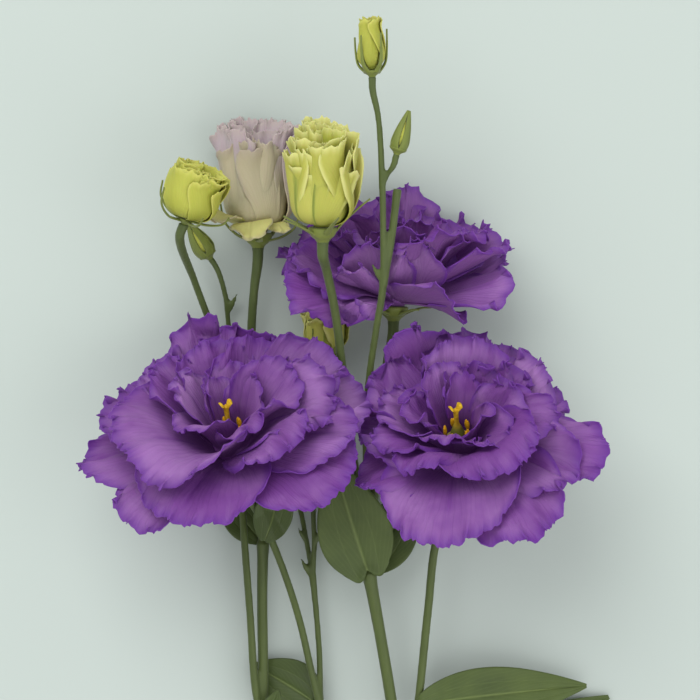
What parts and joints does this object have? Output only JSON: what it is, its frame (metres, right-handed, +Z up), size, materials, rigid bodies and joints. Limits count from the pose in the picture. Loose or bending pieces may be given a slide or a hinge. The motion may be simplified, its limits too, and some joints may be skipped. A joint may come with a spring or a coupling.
{
  "type": "lisianthus flower",
  "caption": "Cut stem of double lisianthus laid on its back: ruffled purple blooms, half-open cream and lime blooms, green buds and smooth leaves on branching stalks.",
  "frame": {"origin": "middle of the footprint, on the surface that the cut flower lies on", "axes": "+Y runs from the cut end to the top bud, +Z is up from the surface, +X is to the right seen from above with the top bud away"},
  "size_m": [0.1648, 0.3236, 0.0686],
  "materials": {
    "stem": "satin",
    "leaf": "satin",
    "sepal": "satin",
    "purple_petal": "matte",
    "lime_petal": "matte",
    "cream_petal": "matte",
    "bud_petal": "matte",
    "pistil": "matte",
    "stamen": "matte"
  },
  "bodies": {
    "root": {"stem": "stem", "leaf_left_front": "leaf", "leaf_left_back": "leaf", "leaf_middle_front": "leaf", "leaf_middle_back": "leaf", "leaf_low_front": "leaf", "leaf_low_left": "leaf", "leaf_right": "leaf", "leaf_right_low": "leaf", "leaf_right_inner": "leaf", "leaf_main_left": "leaf", "leaf_main_right": "leaf", "corolla_left": "purple_petal", "calyx_left": "sepal", "pistil_left": "pistil", "stamens_left": "stamen", "corolla_right": "purple_petal", "calyx_right": "sepal", "pistil_right": "pistil", "stamens_right": "stamen", "corolla_upper": "purple_petal", "calyx_upper": "sepal", "pistil_upper": "pistil", "stamens_upper": "stamen", "corolla_cream": "cream_petal", "calyx_cream": "sepal", "corolla_lime": "lime_petal", "calyx_lime": "sepal", "corolla_small": "lime_petal", "calyx_small": "sepal", "corolla_hidden": "bud_petal", "calyx_hidden": "sepal", "corolla_top": "bud_petal", "calyx_top": "sepal", "corolla_side": "bud_petal", "calyx_side": "sepal", "corolla_green": "bud_petal", "calyx_green": "sepal"}
  },
  "joints": []
}
